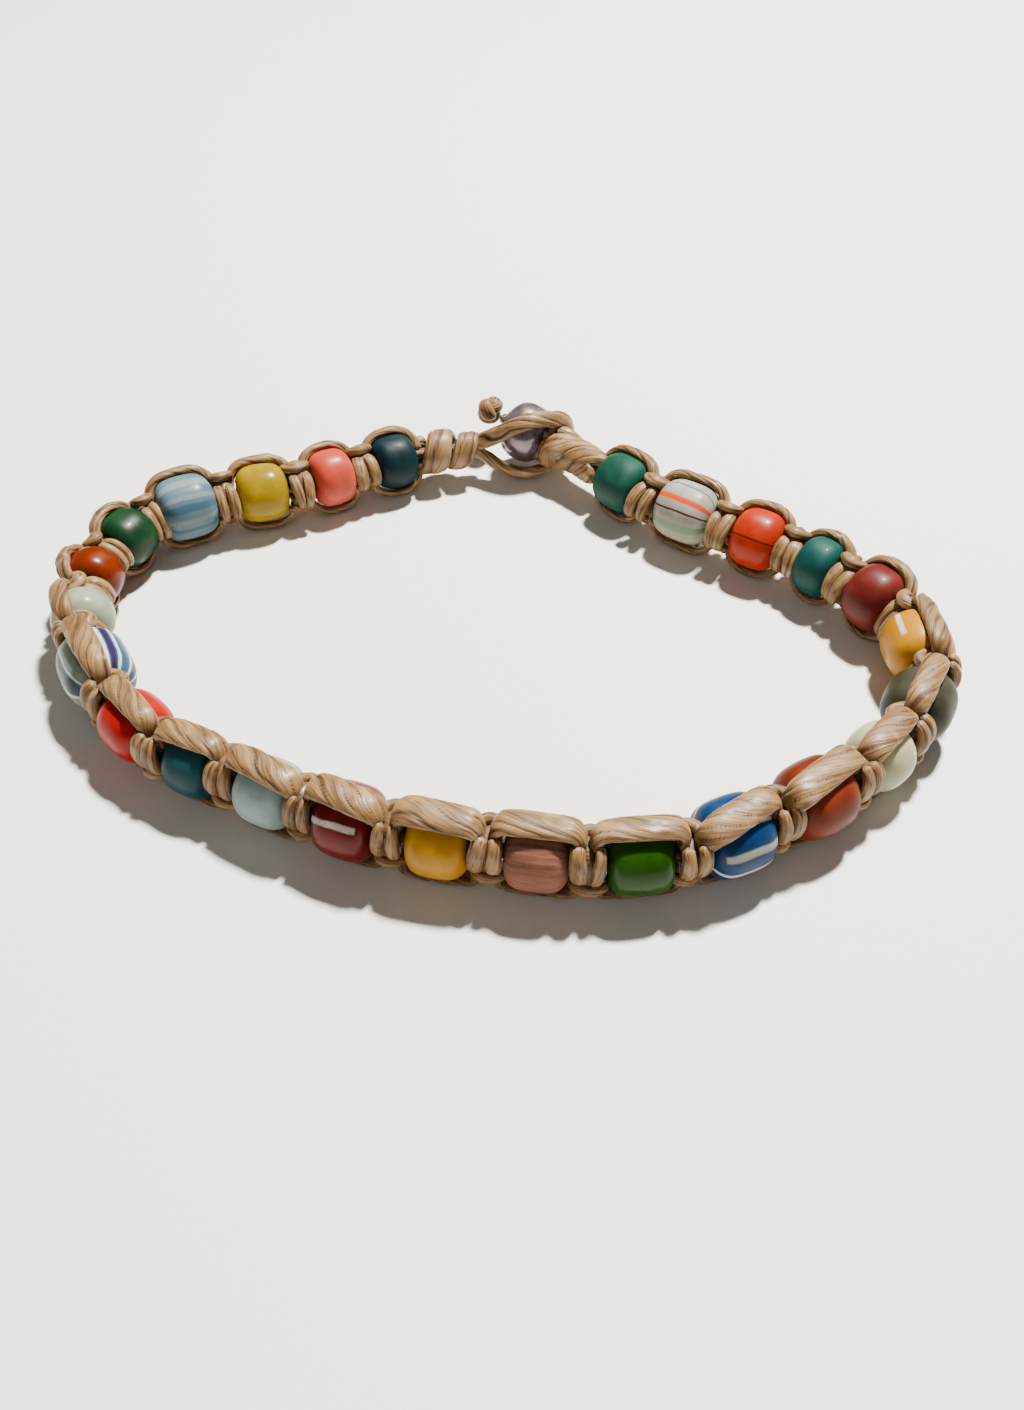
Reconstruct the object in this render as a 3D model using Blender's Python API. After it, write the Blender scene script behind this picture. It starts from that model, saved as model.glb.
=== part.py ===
"""Macrame bracelet: drilled glass beads on a core cord, held by knotted cords, with a bead and loop clasp.

Metres, +Z up. The bracelet lies closed on its lower cord at z = 0, and the origin is in the middle of
the loop on that plane. The beads are numbered from the left of the clasp, anticlockwise seen from above.
"""

import math
from collections import namedtuple

import bmesh
import bpy
from mathutils import Matrix, Vector

MM = 0.001

# Driving sizes
BEAD_LENGTH = 5.0 * MM
BEAD_DIAMETER = 5.9 * MM
KNOT_GAP = 2.4 * MM
CORE_DIAMETER = 1.1 * MM
CLEARANCE = 0.3 * MM
CORD_WIDTH = 2.5 * MM
CORD_WAIST = 1.3 * MM
CORD_THICKNESS = 0.75 * MM
KNOT_DEPTH = 3.0 * MM
KNOT_HEIGHT = 3.6 * MM
WRAP_DEPTH = 3.8 * MM
WRAP_PITCH = 1.6 * MM
LEFT_WRAP_LENGTH = 5.0 * MM
RIGHT_WRAP_LENGTH = 4.7 * MM
LOOP_STRAND = 1.4 * MM
BUTTON_DIAMETER = 6.4 * MM
BUTTON_LENGTH = 5.6 * MM
END_KNOT_DIAMETER = 3.4 * MM

# Facets
BEAD_SIDES = 12
BUTTON_SIDES = 12
KNOT_SIDES = 8
BALL_SIDES = 10
BALL_RINGS = 7
ROUND_CORD_RESOLUTION = 2
SHARP_ANGLE = math.radians(50)
MERGE_DISTANCE = 0.001 * MM

# The middle line of the string on the table, from the left of the clasp round to its right, in mm
ROUTE = [
    (-1.9, 29.7), (-6.0, 28.8), (-11.0, 27.2), (-17.0, 23.4), (-23.8, 20.4), (-31.3, 18.4),
    (-36.2, 13.6), (-37.8, 7.5), (-37.6, 1.0), (-34.6, -5.9), (-30.0, -13.0), (-24.5, -17.2),
    (-17.8, -19.9), (-11.4, -23.6), (3.0, -26.8), (10.6, -27.5), (18.0, -25.3), (31.4, -16.6),
    (36.4, -9.7), (38.3, -2.8), (34.3, 3.8), (30.4, 9.2), (18.3, 17.3), (12.1, 22.9), (9.5, 26.3),
    (6.5, 29.5),
]
FITTING_ROUNDS = 8

# The clasp bead's middle, and the way its hole points, from the neck to the ball knot
BUTTON_CENTRE = Vector((3.2, 31.8, 4.3)) * MM
BUTTON_AXIS = Vector((-0.81, 0.55, 0.22)).normalized()
BUTTON_END = 0.30
NECK_BEND = 1.3 * MM

# The middle line of the clasp loop, in mm: its two ends, from the string's left end at the core's height,
# and its way over the clasp bead, round behind the neck and back under, from the clasp bead's middle
LOOP_UPPER_END = Vector((0.75, -0.05, 0.95)) * MM
LOOP_LOWER_END = Vector((0.75, -0.5, -1.0)) * MM
LOOP_ROUTE = [
    (-2.85, -2.7, 1.85), (-1.1, -2.85, 2.95), (0.8, -2.5, 3.35), (2.6, -1.7, 3.05), (4.1, -0.4, 2.1),
    (4.8, 0.4, 0.3), (4.3, 0.2, -1.6), (2.8, -1.4, -2.8), (1.0, -2.9, -3.1), (-0.9, -3.6, -2.85),
    (-2.7, -3.4, -2.3),
]

# Each bead's length, widest diameter and end diameter, as shares of BEAD_LENGTH and BEAD_DIAMETER
Bead = namedtuple("Bead", "length diameter end colour")
BEADS = [
    Bead(0.98, 0.93, 0.58, (0.010, 0.045, 0.070)),
    Bead(0.94, 0.98, 0.58, (0.720, 0.130, 0.100)),
    Bead(1.10, 1.00, 0.58, (0.560, 0.270, 0.020)),
    Bead(1.14, 1.08, 0.58, (0.190, 0.270, 0.360)),
    Bead(0.88, 0.96, 0.58, (0.012, 0.070, 0.035)),
    Bead(0.78, 0.95, 0.54, (0.260, 0.045, 0.012)),
    Bead(0.88, 0.98, 0.54, (0.430, 0.520, 0.420)),
    Bead(1.36, 1.06, 0.58, (0.300, 0.360, 0.420)),
    Bead(1.08, 0.97, 0.58, (0.600, 0.020, 0.012)),
    Bead(0.92, 0.95, 0.58, (0.008, 0.060, 0.075)),
    Bead(1.02, 0.97, 0.58, (0.320, 0.400, 0.430)),
    Bead(0.97, 1.00, 0.58, (0.150, 0.012, 0.016)),
    Bead(1.04, 1.00, 0.58, (0.560, 0.290, 0.030)),
    Bead(1.04, 1.00, 0.58, (0.480, 0.190, 0.190)),
    Bead(1.08, 1.00, 0.66, (0.070, 0.200, 0.030)),
    Bead(1.08, 1.00, 0.58, (0.080, 0.140, 0.280)),
    Bead(1.18, 1.02, 0.58, (0.300, 0.045, 0.018)),
    Bead(1.00, 0.96, 0.54, (0.560, 0.590, 0.430)),
    Bead(1.12, 0.98, 0.58, (0.060, 0.070, 0.050)),
    Bead(1.18, 1.00, 0.58, (0.650, 0.290, 0.020)),
    Bead(0.92, 1.06, 0.58, (0.110, 0.010, 0.014)),
    Bead(0.84, 0.96, 0.58, (0.010, 0.140, 0.140)),
    Bead(0.98, 1.00, 0.58, (0.620, 0.060, 0.012)),
    Bead(1.26, 1.04, 0.58, (0.560, 0.550, 0.520)),
    Bead(1.10, 0.98, 0.58, (0.010, 0.110, 0.090)),
]

# A barrel bead's outline: share of its half length, and share of the way out from end to widest
BARREL = [(-1.0, 0.0), (-0.78, 0.62), (-0.28, 1.0), (0.28, 1.0), (0.78, 0.62), (1.0, 0.0)]

# A knot's outline, two turns of cord side by side: share of its half length, and share of its wall
KNOT_OUTLINE = [(-0.88, 0.0), (-0.50, 1.0), (0.0, 0.70), (0.50, 1.0), (0.88, 0.0)]

# A flat cord over a bead: share of the bead's half length, share of the way out from its end to its widest,
# and share of the cord's full width
ARC = [
    (-0.98, 0.62, 0.80), (-0.58, 0.97, 1.0), (-0.22, 1.0, 1.0), (0.22, 1.0, 1.0), (0.58, 0.97, 1.0),
    (0.98, 0.62, 0.80),
]

# How far a wrap reaches to each side, and the cords' and the core's ends past the last wrap's middle
WRAP_HALF_LENGTH = WRAP_PITCH * 0.62
CORD_RUN_OUT = WRAP_PITCH * 0.3
CORE_RUN_OUT = WRAP_PITCH * 0.4

CORD_COLOUR = (0.52, 0.36, 0.20)
CORE_COLOUR = (0.45, 0.31, 0.17)
BUTTON_COLOUR = (0.10, 0.075, 0.095)

HOLE_RADIUS = CORE_DIAMETER / 2 + CLEARANCE
CORD_REACH = CLEARANCE + CORD_THICKNESS


def clear_scene():
    """Remove what the scene holds and make the bracelet's collection."""
    for obj in list(bpy.data.objects):
        bpy.data.objects.remove(obj, do_unlink=True)
    bracelet = bpy.data.collections.new("macrame_bracelet")
    bpy.context.scene.collection.children.link(bracelet)
    return bracelet


def material(name, colour, roughness, metallic=0.0):
    """A Principled material of one colour."""
    made = bpy.data.materials.new(name)
    made.use_nodes = True
    shader = made.node_tree.nodes["Principled BSDF"]
    shader.inputs["Base Color"].default_value = (*colour, 1)
    shader.inputs["Roughness"].default_value = roughness
    shader.inputs["Metallic"].default_value = metallic
    return made


def add_object(name, mesh, finish):
    """Put a mesh in the bracelet's collection under its own name."""
    mesh.materials.clear()
    mesh.materials.append(finish)
    mesh.shade_smooth()
    mesh.set_sharp_from_angle(angle=SHARP_ANGLE)
    obj = bpy.data.objects.new(name, mesh)
    bpy.data.collections["macrame_bracelet"].objects.link(obj)
    return obj


def smooth_curve(points, steps=12):
    """Points of a centripetal Catmull-Rom curve through the given points."""
    ends = [points[0] * 2 - points[1], *points, points[-1] * 2 - points[-2]]
    curve = []
    for a, b, c, d in zip(ends, ends[1:], ends[2:], ends[3:]):
        tb = math.sqrt((b - a).length)
        tc = tb + math.sqrt((c - b).length)
        td = tc + math.sqrt((d - c).length)
        for step in range(steps):
            t = tb + (tc - tb) * step / steps
            ab = a.lerp(b, t / tb)
            bc = b.lerp(c, (t - tb) / (tc - tb))
            cd = c.lerp(d, (t - tc) / (td - tc))
            abc = ab.lerp(bc, t / tc)
            bcd = bc.lerp(cd, (t - tb) / (td - tb))
            curve.append(abc.lerp(bcd, (t - tb) / (tc - tb)))
    curve.append(points[-1].copy())
    return curve


def curve_length(curve):
    """The length of a run of points."""
    return sum((b - a).length for a, b in zip(curve, curve[1:]))


def point_along(curve, distance):
    """The point at a distance along a run of points."""
    for a, b in zip(curve, curve[1:]):
        piece = (b - a).length
        if distance <= piece:
            return a.lerp(b, distance / piece)
        distance -= piece
    return curve[-1].copy()


def string_curve(needed):
    """The string's middle line, with the loop's form drawn large enough for the beads and knots it carries."""
    drawn = [Vector((x, y, 0)) * MM for x, y in ROUTE]
    clasp = (drawn[0] + drawn[-1]) / 2
    grow = 1.0
    for _ in range(FITTING_ROUNDS):
        inner = [clasp + (point - clasp) * grow for point in drawn[1:-1]]
        curve = smooth_curve([drawn[0], *inner, drawn[-1]])
        grow *= needed / curve_length(curve)
    return curve


def layout():
    """The knots' middles between the beads and the wraps' middles in the sinnets, each on the string's line."""
    lengths = [bead.length * BEAD_LENGTH for bead in BEADS]
    needed = LEFT_WRAP_LENGTH + RIGHT_WRAP_LENGTH + sum(lengths) + KNOT_GAP * (len(BEADS) + 1)
    curve = string_curve(needed)
    distance = LEFT_WRAP_LENGTH + KNOT_GAP / 2
    stops = [distance]
    for length in lengths:
        distance += length + KNOT_GAP
        stops.append(distance)
    radii = [BEAD_DIAMETER * bead.diameter / 2 for bead in BEADS]
    heights = [CORD_REACH + (a + b) / 2 for a, b in zip([radii[0], *radii], [*radii, radii[-1]])]
    knots = []
    for stop, height in zip(stops, heights):
        point = point_along(curve, stop)
        knots.append(Vector((point.x, point.y, height)))
    left = wrap_places(curve, stops[0], -1, LEFT_WRAP_LENGTH, knots[0].z)
    right = wrap_places(curve, stops[-1], 1, RIGHT_WRAP_LENGTH, knots[-1].z)
    return knots, left, right


def wrap_places(curve, start, direction, length, height):
    """Places for the wraps of a sinnet, spread evenly from the last knot to the string's end."""
    count = max(1, round(length / WRAP_PITCH))
    places = []
    for number in range(1, count + 1):
        point = point_along(curve, start + direction * length * number / count)
        places.append(Vector((point.x, point.y, height)))
    return places


def turned_mesh(name, profile, sides):
    """Turn a closed profile of (along, radius) pairs once round the X axis."""
    bm = bmesh.new()
    verts = [bm.verts.new((along, 0, radius)) for along, radius in profile]
    edges = [bm.edges.new(pair) for pair in zip(verts, verts[1:] + verts[:1])]
    bmesh.ops.spin(bm, geom=verts + edges, cent=(0, 0, 0), axis=(1, 0, 0), dvec=(0, 0, 0),
                   angle=2 * math.pi, steps=sides, use_merge=True)
    bmesh.ops.remove_doubles(bm, verts=bm.verts, dist=MERGE_DISTANCE)
    bmesh.ops.recalc_face_normals(bm, faces=bm.faces)
    mesh = bpy.data.meshes.new(name)
    bm.to_mesh(mesh)
    bm.free()
    return mesh


def string_frame(centre, axis):
    """The place of a piece on the string: its X axis along the string, its Z axis as near up as it can be."""
    side = Vector((0, 0, 1)).cross(axis).normalized()
    up = axis.cross(side).normalized()
    return Matrix([*([axis[i], side[i], up[i], centre[i]] for i in range(3)), [0, 0, 0, 1]])


def barrel_profile(length, radius, end_radius):
    """A drilled barrel's closed profile: its outer side, then its hole."""
    outer = [(length / 2 * along, end_radius + (radius - end_radius) * out) for along, out in BARREL]
    return [*outer, (length / 2, HOLE_RADIUS), (-length / 2, HOLE_RADIUS)]


def bead_sizes(bead):
    """A bead's length, widest radius and end radius."""
    radius = BEAD_DIAMETER * bead.diameter / 2
    return bead.length * BEAD_LENGTH, radius, BEAD_DIAMETER * bead.end / 2


def make_beads(knots):
    """One drilled barrel between each two knots."""
    for number, (bead, a, b) in enumerate(zip(BEADS, knots, knots[1:]), start=1):
        name = f"bead_{number:02d}"
        mesh = turned_mesh(name, barrel_profile(*bead_sizes(bead)), BEAD_SIDES)
        obj = add_object(name, mesh, material(name, bead.colour, 0.18))
        axis = (b - a).normalized()
        obj.matrix_world = string_frame(bead_centre(bead, a, b), axis)


def bead_centre(bead, a, b):
    """A bead's middle: halfway between its knots, its lower cord touching the table."""
    centre = (a + b) / 2
    return Vector((centre.x, centre.y, BEAD_DIAMETER * bead.diameter / 2 + CORD_REACH))


def section(centre, along, width, thickness):
    """Six corners of a flat cord across its path, its flats level with the table where the path is."""
    side = Vector((0, 0, 1)).cross(along).normalized()
    up = along.cross(side).normalized()
    corners = [(0.5, 0), (0.25, 0.5), (-0.25, 0.5), (-0.5, 0), (-0.25, -0.5), (0.25, -0.5)]
    return [centre + side * (x * width) + up * (y * thickness) for x, y in corners]


def loft_mesh(name, rings):
    """A closed tube through rings of corners."""
    bm = bmesh.new()
    rows = [[bm.verts.new(corner) for corner in ring] for ring in rings]
    for a, b in zip(rows, rows[1:]):
        for i in range(len(a)):
            j = (i + 1) % len(a)
            bm.faces.new((a[i], a[j], b[j], b[i]))
    bm.faces.new(rows[0])
    bm.faces.new(rows[-1])
    bmesh.ops.recalc_face_normals(bm, faces=bm.faces)
    mesh = bpy.data.meshes.new(name)
    bm.to_mesh(mesh)
    bm.free()
    return mesh


def flat_cord(name, knots, left, right, above):
    """One knotting cord: over (or under) every bead, and through every knot close to the core."""
    sign = 1 if above else -1
    lift = CLEARANCE + CORD_THICKNESS / 2
    reach = Vector((0, 0, sign * (KNOT_HEIGHT / 2 - CORD_THICKNESS / 2)))
    first = left[-1] + (left[-1] - knots[0]).normalized() * CORD_RUN_OUT
    last = right[-1] + (right[-1] - knots[-1]).normalized() * CORD_RUN_OUT
    path = [(place + reach, CORD_WAIST) for place in [first, *reversed(left)]]
    for bead, a, b in zip(BEADS, knots, knots[1:]):
        length, radius, end_radius = bead_sizes(bead)
        centre = bead_centre(bead, a, b)
        axis = (b - a).normalized()
        level = Vector((axis.x, axis.y, 0)).normalized()
        path.append((a + reach, CORD_WAIST))
        for along, share, width in ARC:
            out = end_radius + (radius - end_radius) * share + lift
            point = centre + level * (along * length / 2) + Vector((0, 0, sign * out))
            path.append((point, CORD_WIDTH * width))
    path += [(place + reach, CORD_WAIST) for place in [knots[-1], *right, last]]
    points = [point for point, _ in path]
    before = [points[0], *points[:-1]]
    after = [*points[1:], points[-1]]
    rings = [section(point, (b - a).normalized(), width, CORD_THICKNESS)
             for (point, width), a, b in zip(path, before, after)]
    return loft_mesh(name, rings)


def knot_mesh(name, depth, half_length):
    """A knot round the core: two turns of cord side by side, drilled for the core."""
    wall = depth / 2 - HOLE_RADIUS
    profile = [(along * half_length, HOLE_RADIUS + wall * out) for along, out in KNOT_OUTLINE]
    mesh = turned_mesh(name, profile, KNOT_SIDES)
    for vert in mesh.vertices:
        vert.co.z *= KNOT_HEIGHT / KNOT_DEPTH
    return mesh


def directions(places):
    """The string's direction at each of a run of places."""
    before = [places[0], *places[:-1]]
    after = [*places[1:], places[-1]]
    return [(b - a).normalized() for a, b in zip(before, after)]


def unite(obj, others):
    """Join closed objects into one body, a thousand times larger while they are joined, and remove the others."""
    for piece in [obj, *others]:
        piece.data.transform(Matrix.Scale(1 / MM, 4))
    for other in others:
        union = obj.modifiers.new(other.name, "BOOLEAN")
        union.operation = "UNION"
        union.object = other
        depsgraph = bpy.context.evaluated_depsgraph_get()
        joined = bpy.data.meshes.new_from_object(obj.evaluated_get(depsgraph))
        obj.modifiers.clear()
        obj.data = joined
        bpy.data.objects.remove(other, do_unlink=True)
    obj.data.transform(Matrix.Scale(MM, 4))


def make_knotted_band(knots, left, right, finish):
    """The two knotting cords and all their knots, one woven body round the core and the beads."""
    band = add_object("knotted_band", flat_cord("knotted_band", knots, left, right, True), finish)
    others = []
    places = [*reversed(left), *knots, *right]
    inner_half = KNOT_GAP / 2 - CLEARANCE
    for number, (centre, axis) in enumerate(zip(places, directions(places))):
        in_wrap = number < len(left) or number >= len(left) + len(knots)
        depth = WRAP_DEPTH if in_wrap else KNOT_DEPTH
        half = WRAP_HALF_LENGTH if in_wrap else inner_half
        mesh = knot_mesh(f"knot_{number}", depth, half)
        mesh.transform(string_frame(centre, axis))
        others.append(add_object(mesh.name, mesh, finish))
    others.append(add_object("under_cord", flat_cord("under_cord", knots, left, right, False), finish))
    unite(band, others)


def tube(name, points, diameter, finish):
    """A round cord through the points, as a closed mesh."""
    curve = bpy.data.curves.new(name, "CURVE")
    curve.dimensions = "3D"
    curve.bevel_depth = diameter / 2
    curve.bevel_resolution = ROUND_CORD_RESOLUTION
    curve.use_fill_caps = True
    spline = curve.splines.new("POLY")
    spline.points.add(len(points) - 1)
    for target, point in zip(spline.points, points):
        target.co = (*point, 1)
    guide = bpy.data.objects.new(name + "_path", curve)
    bpy.data.collections["macrame_bracelet"].objects.link(guide)
    mesh = bpy.data.meshes.new_from_object(guide.evaluated_get(bpy.context.evaluated_depsgraph_get()))
    bpy.data.objects.remove(guide, do_unlink=True)
    bm = bmesh.new()
    bm.from_mesh(mesh)
    bmesh.ops.remove_doubles(bm, verts=bm.verts, dist=MERGE_DISTANCE)
    bmesh.ops.recalc_face_normals(bm, faces=bm.faces)
    bm.to_mesh(mesh)
    bm.free()
    mesh.name = name
    return add_object(name, mesh, finish)


def make_core(knots, left, right, finish):
    """The core cord: through the wraps, the knots and the beads, and on through the clasp bead."""
    string = [*reversed(left), *knots, *right]
    outward = (string[0] - string[1]).normalized()
    entry = BUTTON_CENTRE - BUTTON_AXIS * (BUTTON_LENGTH / 2 + NECK_BEND)
    exit_point = BUTTON_CENTRE + BUTTON_AXIS * (BUTTON_LENGTH / 2 + CLEARANCE)
    neck = smooth_curve([string[-2], string[-1], entry, exit_point], 3)[3:]
    points = [string[0] + outward * CORE_RUN_OUT, *string[:-1], *neck]
    tube("core_cord", points, CORE_DIAMETER, finish)


def make_clasp(core_height, finish, metal):
    """The clasp: a drilled bead on the core's end, the ball knot that stops it, and the loop that holds it."""
    outline = barrel_profile(BUTTON_LENGTH, BUTTON_DIAMETER / 2, BUTTON_DIAMETER * BUTTON_END)
    button = add_object("clasp_bead", turned_mesh("clasp_bead", outline, BUTTON_SIDES), metal)
    button.matrix_world = string_frame(BUTTON_CENTRE, BUTTON_AXIS)
    bm = bmesh.new()
    bmesh.ops.create_uvsphere(bm, u_segments=BALL_SIDES, v_segments=BALL_RINGS, radius=END_KNOT_DIAMETER / 2)
    mesh = bpy.data.meshes.new("end_knot")
    bm.to_mesh(mesh)
    bm.free()
    ball = add_object("end_knot", mesh, finish)
    ball.location = BUTTON_CENTRE + BUTTON_AXIS * (BUTTON_LENGTH / 2 + 2 * CLEARANCE + END_KNOT_DIAMETER / 2)
    string_end = Vector((*ROUTE[0], 0)) * MM + Vector((0, 0, core_height))
    way = [BUTTON_CENTRE + Vector(point) * MM for point in LOOP_ROUTE]
    drawn = [string_end + LOOP_UPPER_END, *way, string_end + LOOP_LOWER_END]
    tube("clasp_loop", smooth_curve(drawn, 2), LOOP_STRAND, finish)


def centre_on_origin():
    """Move the whole bracelet level until the origin is under the middle of its box."""
    bpy.context.view_layer.update()
    pieces = list(bpy.data.collections["macrame_bracelet"].objects)
    corners = [piece.matrix_world @ vert.co for piece in pieces for vert in piece.data.vertices]
    middle = Vector(((min(c.x for c in corners) + max(c.x for c in corners)) / 2,
                     (min(c.y for c in corners) + max(c.y for c in corners)) / 2, 0))
    for piece in pieces:
        piece.location = piece.location - middle


def build():
    """Make every piece of the bracelet."""
    clear_scene()
    cord = material("waxed_cord", CORD_COLOUR, 0.6)
    core = material("core_cord", CORE_COLOUR, 0.7)
    metal = material("button_glaze", BUTTON_COLOUR, 0.22, 0.8)
    knots, left, right = layout()
    make_beads(knots)
    make_knotted_band(knots, left, right, cord)
    make_core(knots, left, right, core)
    make_clasp(knots[0].z, cord, metal)
    centre_on_origin()


build()
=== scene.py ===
import math
from collections import namedtuple

import bmesh
import bpy
import numpy as np
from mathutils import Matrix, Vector


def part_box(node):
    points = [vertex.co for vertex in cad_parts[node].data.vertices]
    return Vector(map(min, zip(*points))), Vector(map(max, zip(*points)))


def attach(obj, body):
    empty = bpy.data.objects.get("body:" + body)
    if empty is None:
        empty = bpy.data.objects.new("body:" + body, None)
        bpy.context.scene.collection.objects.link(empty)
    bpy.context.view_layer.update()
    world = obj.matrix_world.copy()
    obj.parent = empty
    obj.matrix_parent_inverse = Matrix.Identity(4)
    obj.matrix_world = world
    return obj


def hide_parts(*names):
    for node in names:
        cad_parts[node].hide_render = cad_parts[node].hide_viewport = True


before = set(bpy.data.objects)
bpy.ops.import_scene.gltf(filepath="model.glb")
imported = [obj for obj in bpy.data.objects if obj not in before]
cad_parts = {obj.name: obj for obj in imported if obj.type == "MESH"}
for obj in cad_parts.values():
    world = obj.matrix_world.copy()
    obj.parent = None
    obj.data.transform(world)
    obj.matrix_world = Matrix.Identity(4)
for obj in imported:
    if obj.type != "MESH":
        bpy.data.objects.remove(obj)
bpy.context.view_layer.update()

# The looks of the macrame bracelet. Lengths are in mm and turn into metres where a mesh is made, except in
# the materials, the floor, the lights and the camera's clip distances, which are in metres.
MM = 0.001

# The string's middle line, repeated from the part, how many rounds fit it to its length, and its points'
# spacing
ROUTE = [
    (-1.9, 29.7), (-6.0, 28.8), (-11.0, 27.2), (-17.0, 23.4), (-23.8, 20.4), (-31.3, 18.4),
    (-36.2, 13.6), (-37.8, 7.5), (-37.6, 1.0), (-34.6, -5.9), (-30.0, -13.0), (-24.5, -17.2),
    (-17.8, -19.9), (-11.4, -23.6), (3.0, -26.8), (10.6, -27.5), (18.0, -25.3), (31.4, -16.6),
    (36.4, -9.7), (38.3, -2.8), (34.3, 3.8), (30.4, 9.2), (18.3, 17.3), (12.1, 22.9), (9.5, 26.3),
    (6.5, 29.5),
]
FITTING_ROUNDS = 8
LINE_SPACING = 0.4

# The clasp bead's middle and the way its hole points, from the neck to the ball knot
BUTTON_CENTRE = np.array([3.2, 31.8, 4.3])
BUTTON_AXIS = np.array([-0.81, 0.55, 0.22]) / np.linalg.norm([-0.81, 0.55, 0.22])

# The loop's middle line: out of the left wraps, over the clasp bead, behind its neck and back under it. The
# ends are given from the string's left end at the core's height, the rest from the clasp bead's middle.
LOOP_FROM_STRING_END = [(-1.9, 0.10, 0.10), (-0.5, 0.05, 0.40), (0.6, -0.10, 0.95)]
LOOP_FROM_BUTTON = [
    (-2.85, -2.75, 1.55), (-1.1, -2.95, 2.65), (0.8, -2.6, 3.05), (2.5, -1.9, 2.75), (3.9, -0.7, 1.9),
    (4.6, 0.2, 0.3), (4.2, 0.1, -1.6), (2.8, -1.4, -2.8), (1.0, -2.9, -3.1), (-0.9, -3.6, -2.85),
    (-2.7, -3.4, -2.3),
]
LOOP_TO_STRING_END = [(0.6, -0.50, -0.95), (-0.5, -0.15, -0.50), (-1.9, 0.0, -0.20)]

# Driving sizes, as in the part. The end knot's offset runs from the clasp bead's middle to its own.
BEAD_LENGTH = 5.0
BEAD_DIAMETER = 5.9
KNOT_GAP = 2.4
LEFT_WRAP_LENGTH = 5.0
RIGHT_WRAP_LENGTH = 4.7
CORD_REACH = 1.05
HOLE_RADIUS = 0.85
BUTTON_DIAMETER = 6.4
BUTTON_LENGTH = 5.6
END_KNOT_OFFSET = 5.1

# The visible knotting cords: thickness, how far the middle of the upper and of the lower one lies off the
# beads, how much of the bead's curve their section follows, and how far a rounded end changes the thickness
ARC_THICKNESS = 0.85
ARC_LIFT = 0.46
LOWER_LIFT = 0.60
ARC_CURL = 0.55
UPPER_END_SWELL = 0.20
LOWER_END_SWELL = -0.05

# How finely cords are drawn round and along, and the length over which a cord's end rounds off
CORD_AROUND = 56
CORD_SPACING = 0.24
CORD_END = 0.35
# How finely beads are drawn, how far from a hole's wall a bead's outline ends, and the width of a glass
# bead's rim
BEAD_AROUND = 96
BEAD_RINGS = 27
BUTTON_RINGS = 31
OUTLINE_END = 0.35
RIM_WIDTH = 0.22
# Points closer than this, in metres, are one point
SAME_POINT = 1e-7

# A bead: its length and diameter in shares of BEAD_LENGTH and BEAD_DIAMETER, how square its shoulders are,
# its two colours, how rough its glass is, how much light it scatters inside, its stripes, and the number of
# its ribs
Bead = namedtuple("Bead", "length diameter square tone shade gloss glow stripes ribs")
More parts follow.
